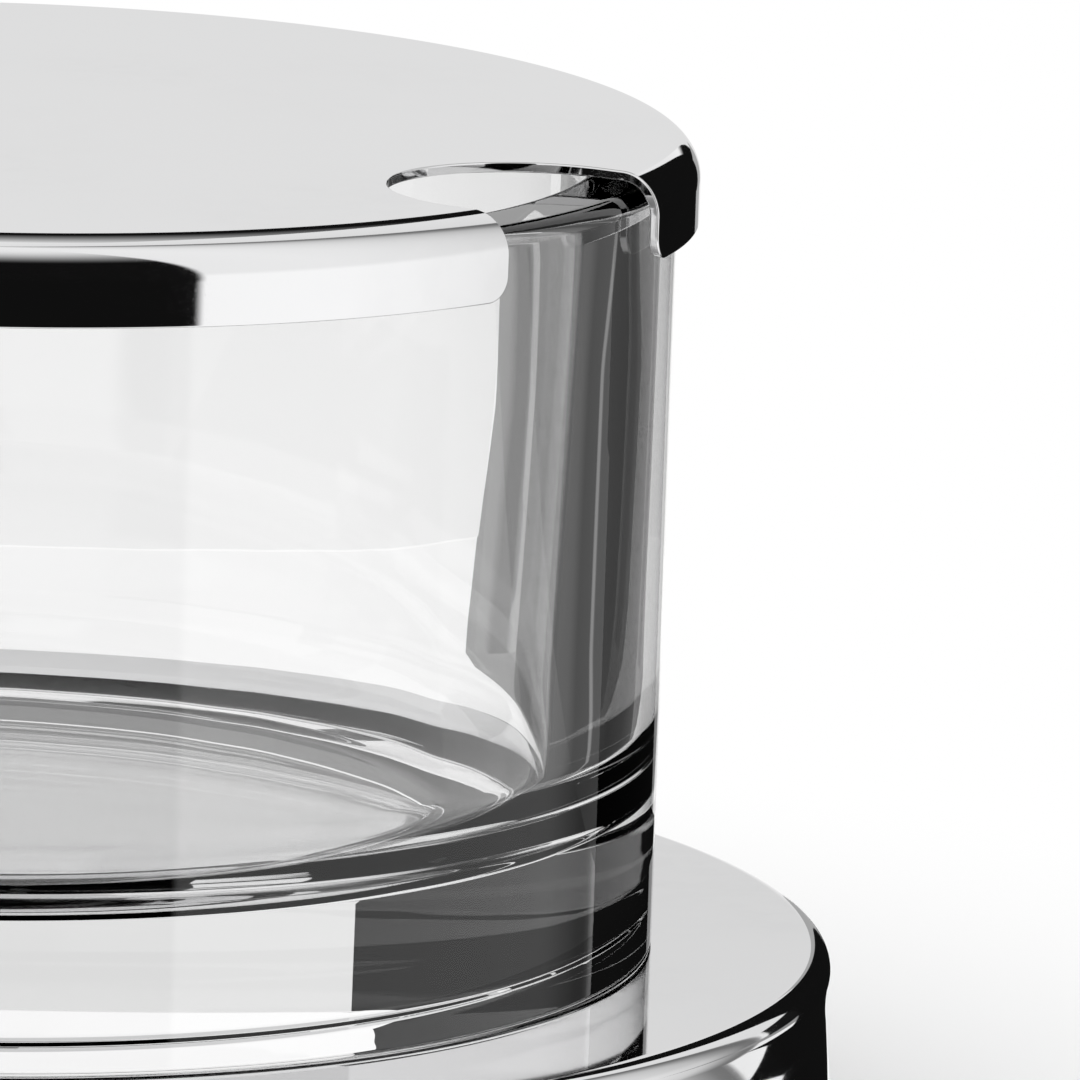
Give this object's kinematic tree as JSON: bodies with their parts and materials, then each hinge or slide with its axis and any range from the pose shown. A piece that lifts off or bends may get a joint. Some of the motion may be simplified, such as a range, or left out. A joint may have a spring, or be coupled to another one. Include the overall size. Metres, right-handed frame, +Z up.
{
  "type": "cheese pot",
  "caption": "Round clear glass pot for grated cheese on a polished steel base, with a hinged polished steel lid that has a spoon slot.",
  "frame": {"origin": "middle of the underside, on the surface that the pot stands on", "axes": "+Z up, -Y towards the spoon slot, +Y towards the hinge, +X to the right seen from the slot"},
  "size_m": [0.1398, 0.1398, 0.0823],
  "materials": {
    "clear_glass": "fire-polished clear glass",
    "polished_steel": "mirror-polished stainless steel",
    "plain_steel": "plain satin stainless steel",
    "clear_silicone": "milky clear silicone",
    "grey_silicone": "matt dark grey silicone"
  },
  "bodies": {
    "base": {"base_shell": "polished_steel", "base_plate": "plain_steel", "foot_ring": "grey_silicone", "backing_plate": "plain_steel", "bracket_nuts": "plain_steel", "bracket_screws": "plain_steel", "hinge_bracket": "polished_steel", "hinge_pin": "polished_steel", "glass_bowl": "clear_glass"},
    "lid": {"lid_shell": "polished_steel", "hinge_leaf": "polished_steel", "leaf_rivets": "polished_steel", "lid_bumpers": "clear_silicone"}
  },
  "joints": [
    {"name": "lid_hinge", "type": "hinge", "parent": "base", "child": "lid", "pos_m": [0, 0.0591, 0.0736], "axis": [-1, 0, 0], "range_deg": [0, 100]}
  ]
}
